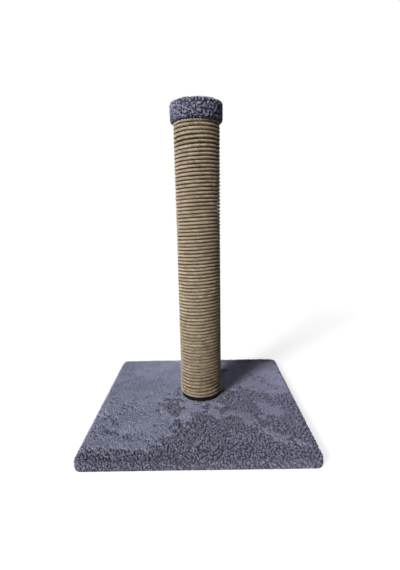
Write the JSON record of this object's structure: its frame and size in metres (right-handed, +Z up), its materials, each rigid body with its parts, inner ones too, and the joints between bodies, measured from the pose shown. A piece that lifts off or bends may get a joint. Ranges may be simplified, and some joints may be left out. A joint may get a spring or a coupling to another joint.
{
  "type": "cat scratching post",
  "caption": "Upright rope-wound post on a square plush-covered base board, closed by a round plush cap, for a cat to scratch.",
  "frame": {"origin": "middle of the underside of the base, on the floor", "axes": "+Z up along the post, +X to the right and +Y to the back, seen from the front"},
  "size_m": [0.4, 0.4, 0.5893],
  "materials": {
    "plush": "matte",
    "rope": "matte",
    "board": "matte",
    "paper_tube": "matte",
    "liner": "matte",
    "black_plastic": "satin",
    "steel": "satin",
    "brass": "satin"
  },
  "bodies": {
    "root": {"base_board": "board", "base_cover": "plush", "base_liner": "liner", "base_staple_back_1": "steel", "base_staple_back_2": "steel", "base_staple_back_3": "steel", "base_staple_front_1": "steel", "base_staple_front_2": "steel", "base_staple_front_3": "steel", "base_staple_left_1": "steel", "base_staple_left_2": "steel", "base_staple_left_3": "steel", "base_staple_right_1": "steel", "base_staple_right_2": "steel", "base_staple_right_3": "steel", "cap_board": "board", "cap_cover": "plush", "cap_staple_1": "steel", "cap_staple_2": "steel", "cap_staple_3": "steel", "cap_staple_4": "steel", "cap_staple_5": "steel", "cap_staple_6": "steel", "cap_stud": "steel", "foot_bolt": "steel", "foot_insert": "brass", "foot_plug": "black_plastic", "foot_plug_staple_1": "steel", "foot_plug_staple_2": "steel", "foot_plug_staple_3": "steel", "foot_washer": "steel", "post_tube": "paper_tube", "rope_staple_foot": "steel", "rope_staple_top": "steel", "rope_winding": "rope", "top_insert": "brass", "top_plug": "black_plastic", "top_plug_staple_1": "steel", "top_plug_staple_2": "steel", "top_plug_staple_3": "steel"}
  },
  "joints": []
}
